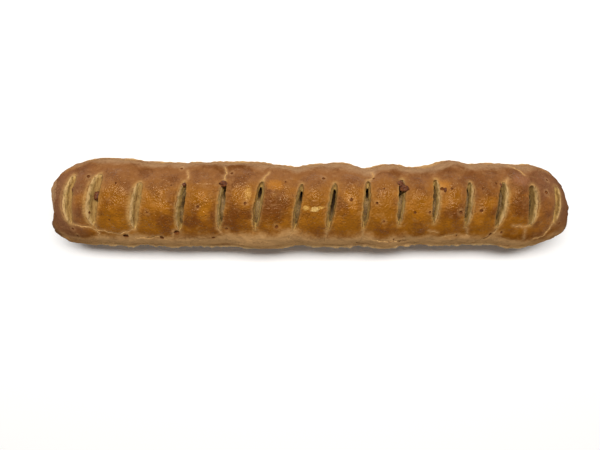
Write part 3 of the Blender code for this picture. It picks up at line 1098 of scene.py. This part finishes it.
def cut_grooves(name, cracks, material):
    """A groove along each crack, which wanders a little and swells and thins on its way."""
    lines = []
    widths = []
    for number, (half_width, *passes) in enumerate(cracks):
        passes = np.array(passes) * MM
        lengths = np.concatenate([[0], np.cumsum(np.linalg.norm(np.diff(passes, axis=0), axis=1))])
        line = []
        for step in np.arange(0, lengths[-1], CRACK_STEP):
            x, y = (np.interp(step, lengths, passes[:, axis]) for axis in range(2))
            wander = noise.noise_vector(Vector((step / CRACK_WANDER_SIZE, number * 9.1, 0)))
            point, _ = on_skin(skin_tree, x + wander.x * CRACK_WANDER, y + wander.y * CRACK_WANDER)
            if point is not None:
                line.append(point)
                widths.append(half_width * (1 + 1.1 * wander.z))
        lines.append(line)
    crack_points.extend(point for line in lines for point in line)
    made = add_to_scene(name, edge_line_mesh(name, lines))
    width_layer = made.data.attributes.new("half_width", "FLOAT", "POINT")
    width_layer.data.foreach_set("value", widths)
    grown(made, groove_tree(material), {"Half width": CRACK_WIDENING * MM, "Thinnest": 0.35})
    return made


grooves = cut_grooves("crack_grooves", CRACKS, torn_dough())
deep_grooves = cut_grooves("deep_crack_grooves", DEEP_CRACKS, painted_hole_shade())

pit_points = []
pit_radii = []
for x, y, radius in PITS:
    point, normal = on_skin(skin_tree, x * MM, y * MM)
    if point is not None:
        pit_points.append(point + normal * radius * MM * PIT_SINK)
        pit_radii.append(radius)
pits = add_to_scene("burst_bubbles", edge_line_mesh("burst_bubbles", [[p] for p in pit_points]))
radius_layer = pits.data.attributes.new("pit_radius", "FLOAT", "POINT")
radius_layer.data.foreach_set("value", pit_radii)
grown(pits, pit_tree(painted_hole_shade()), {"Radius": MM, "Unevenness": 0.25})


# ---------------------------------------------------------------------------------------------
# Cutting the pastry open.
# The hollow, the cracks and the pits are taken out of the skin, and the new faces keep their
# own finish.
# ---------------------------------------------------------------------------------------------


def steamed_crumb():
    """The pale, moist inner side of the pastry."""
    material, shader, place = new_finish("steamed_crumb")
    grain = place.noise(2.0, 3.0, 0.6, 3.0)
    feed(shader["Base Color"], grain.between(0.3, 0.7).blend(paint(190, 160, 100), paint(150, 118, 66)))
    shader["Roughness"].default_value = 0.6
    return material


hollow.data.materials.append(steamed_crumb())


def cut_away(piece, cutter):
    """Takes a cutter's space out of a piece, keeping the cutter's material on the new faces."""
    boolean = piece.modifiers.new(cutter.name, "BOOLEAN")
    boolean.operation = "DIFFERENCE"
    boolean.solver = "MANIFOLD"
    boolean.material_mode = "TRANSFER"
    boolean.object = cutter


cutters = (hollow, grooves, deep_grooves, pits)
for cutter in cutters:
    cut_away(crust, cutter)
made_plain(crust)
for cutter in cutters:
    bpy.data.objects.remove(cutter, do_unlink=True)


def give_attribute(mesh, name, values):
    layer = mesh.attributes.new(name, "FLOAT", "POINT")
    layer.data.foreach_set("value", np.asarray(values, np.float32))


# The cuts moved no point of the skin, so each point takes the values of the nearest one.
nearest = kdtree.KDTree(skin[..., 0].size)
for index, point in enumerate(skin.reshape(-1, 3)):
    nearest.insert(point, index)
nearest.balance()
near_index = np.array([nearest.find(v.co)[1] for v in crust.data.vertices])

# The skin is paler beside a crack and in a ring round a larger pit.
CRACK_HALO = 1.0 * MM
PIT_RING = 1.4
PIT_HALO = 0.6 * MM
crack_tree = kdtree.KDTree(len(crack_points))
for index, point in enumerate(crack_points):
    crack_tree.insert(point, index)
crack_tree.balance()
crack_gap = np.array([crack_tree.find(point)[2] for point in skin.reshape(-1, 3)])
crack_near = bell(crack_gap, CRACK_HALO)
pit_near = np.zeros_like(z)
for x, y, radius in PITS:
    if radius >= 0.8:
        gap = np.hypot(skin[..., 0] - x * MM, skin[..., 1] - y * MM) - PIT_RING * radius * MM
        pit_near = np.maximum(pit_near, bell(gap, PIT_HALO) * (skin[..., 2] > TIP_LEVEL))
ATTRIBUTES = {
    "torn_edge": torn_edge,
    "crack_near": crack_near,
    "pit_near": pit_near,
    "cut_open": cut_open,
    "cut_depth": cut_depth / MM,
    "lip_near": lip_near,
    "pillow_near": pillow_near,
}
for name, values in ATTRIBUTES.items():
    give_attribute(crust.data, name, values.reshape(-1)[near_index])
crust.data.shade_smooth()
crust.data.set_sharp_from_angle(angle=math.radians(50))
print("crust tris", sum(len(p.vertices) - 2 for p in crust.data.polygons))

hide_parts("pastry")
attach(crust, "root")


# ---------------------------------------------------------------------------------------------
# The sausage meat.
# Coarse mince fills the hollow.  Through the slashes it shows grey-brown and moist, and it has
# shrunk away from the pastry in places, which leaves dark gaps; the meat down in them is
# painted dark as their shade.
# ---------------------------------------------------------------------------------------------

PLAY = 0.3 * MM
MEAT_LUMPS = ((5.5 * MM, 0.7 * MM, 21), (2.2 * MM, 0.5 * MM, 22))

# Where the meat has shrunk under a slash: its number, the middle and half length of the gap
# across the roll, and its depth, in millimetres.
SHRUNK = (
    (3, 0.5, 4, 9),
    (4, 6, 3, 8),
    (5, 7, 4, 7),
    (6, 5, 5, 8),
    (7, 1, 8, 9),
    (8, 7, 4, 9),
    (9, 8, 4, 8),
    (10, 6, 6, 7),
    (11, 7, 3, 7),
    (12, -4, 9, 10),
    (13, 2, 6, 10),
)
SHRUNK_HALF_WIDTH = 1.05 * MM
SHRUNK_ASIDE = 0.45 * MM

meat_rings = inner_rings(WALL + PLAY, END_WALL + PLAY, 440, 72, 16)
meat_middle = np.stack(
    [meat_rings[..., 0], np.zeros_like(meat_rings[..., 1]), np.full_like(meat_rings[..., 2], TIP_LEVEL)],
    axis=-1,
)
meat_outwards = meat_rings - meat_middle
meat_outwards /= np.linalg.norm(meat_outwards, axis=-1, keepdims=True) + 1e-9
meat_dip = sum(
    depth * (rough(meat_rings, size, seed) - 0.7) / 1.7 for size, depth, seed in MEAT_LUMPS
)
shrunk = np.zeros_like(meat_dip)
for number, middle, half_length, depth in SHRUNK:
    aside = math.copysign(SHRUNK_ASIDE, SLASHES[number][-1])
    centre = slash_at(number, meat_rings[..., 1])[1] + aside
    gap = bell(meat_rings[..., 0] - centre, SHRUNK_HALF_WIDTH)
    gap = gap * bell(meat_rings[..., 1] - middle * MM, half_length * MM)
    gap = gap * (meat_rings[..., 2] > TIP_LEVEL)
    meat_dip = meat_dip - depth * MM * gap
    shrunk = np.maximum(shrunk, gap)
meat_rings = meat_rings + meat_outwards * meat_dip[..., None]


def cooked_meat():
    material, shader, place = new_finish("cooked_meat")
    lumps = place.noise(2.6, 3.0, 0.6, 11.0)
    specks = place.noise(0.9, 2.0, 0.6, 31.0)
    colour = lumps.between(0.35, 0.65).blend(paint(154, 120, 66), paint(120, 90, 48))
    colour = specks.between(0.60, 0.72).blend(colour, paint(84, 54, 28))
    colour = specks.between(0.36, 0.28).blend(colour, paint(200, 176, 112))
    # Painted shade: where the meat has shrunk from the pastry it is blended to a near black-brown, the
    # shade down in the gap.
    gap = place.add("ShaderNodeAttribute", {"attribute_name": "shrunk"}, None, 2)
    colour = (gap.between(0.15, 0.5) * 0.9).blend(colour, paint(80, 56, 30))
    feed(shader["Base Color"], colour)
    feed(shader["Roughness"], 0.60 + specks * 0.2)
    feed(shader["Normal"], specks.bump(0.25, lumps.bump(0.4)))
    return material


meat = closed_round(
    "sausage_meat", meat_rings, [tip_point(-1, END_WALL + PLAY), tip_point(1, END_WALL + PLAY)]
)
give_attribute(meat.data, "shrunk", [*shrunk.reshape(-1), 0.0, 0.0])
meat.data.materials.append(cooked_meat())
meat.data.shade_smooth()
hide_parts("filling")
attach(meat, "root")


# ---------------------------------------------------------------------------------------------
# Browned morsels.
# Small scraps of the filling that rose into the slashes and baked dark and shiny.
# ---------------------------------------------------------------------------------------------

# Each morsel: x and y, how far its middle lies below the lips, and its three half sizes.
MORSELS = (
    (-117.6, 2.8, 1.5, 1.6, 2.3, 1.3),
    (-115.6, 0.8, 1.9, 1.0, 1.4, 0.9),
    (-114.8, 13.8, 0.7, 1.3, 1.4, 0.9),
    (-131.4, 5.6, 2.0, 0.8, 2.8, 0.7),
    (-48.2, 9.6, 0.2, 2.3, 1.6, 1.3),
    (51.2, 7.2, 0.2, 2.3, 1.8, 1.4),
    (49.6, 10.2, 0.9, 1.4, 1.5, 1.0),
    (104.4, 8.8, 0.9, 1.1, 1.5, 0.9),
    (73.6, 6.3, 0.1, 0.8, 1.2, 0.6),
    (-70.4, 9.6, 1.2, 1.7, 1.0, 0.8),
)


def browned_morsel():
    material, shader, place = new_finish("browned_morsel")
    patches = place.noise(1.1, 3.0, 0.6, 61.0)
    feed(shader["Base Color"], patches.between(0.35, 0.68).blend(paint(76, 36, 14), paint(118, 66, 30)))
    feed(shader["Roughness"], 0.40 + patches * 0.25)
    shader["Specular IOR Level"].default_value = 0.25
    feed(shader["Normal"], patches.bump(0.3))
    return material


def uneven_scrap(shape, place, sizes, seed):
    """Adds a rough lump of a place and three half sizes to a shape."""
    made = bmesh.ops.create_icosphere(shape, subdivisions=4, radius=1.0)
    for vert in made["verts"]:
        bulge = noise.noise(vert.co * 1.3 + Vector((seed * 5.1, 0, 0))) * 0.45
        bulge += noise.noise(vert.co * 3.4 + Vector((0, seed * 3.7, 0))) * 0.22
        vert.co = Vector(
            place[axis] + vert.co[axis] * sizes[axis] * (1 + bulge) for axis in range(3)
        )


scraps = bmesh.new()
for number, (x, y, sunk, *sizes) in enumerate(MORSELS):
    x, y, z = (float(v) for v in (x * MM, y * MM, 0))
    crown = round_surface(np.array(x), np.array(math.pi / 2), 0.0, 0.0)[2]
    share = 1 - abs(y / SIDE_REACH) ** TOP_POWER
    level = WIDEST_LEVEL + (float(crown) - WIDEST_LEVEL) * share ** (1 / TOP_POWER)
    uneven_scrap(scraps, (x, y, level - sunk * MM), [size * MM for size in sizes], number)
bmesh.ops.recalc_face_normals(scraps, faces=scraps.faces[:])
scrap_mesh = bpy.data.meshes.new("browned_morsels")
scraps.to_mesh(scrap_mesh)
scraps.free()
scrap_mesh.materials.append(browned_morsel())
scrap_mesh.shade_smooth()
morsels = add_to_scene("browned_morsels", scrap_mesh)
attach(morsels, "root")
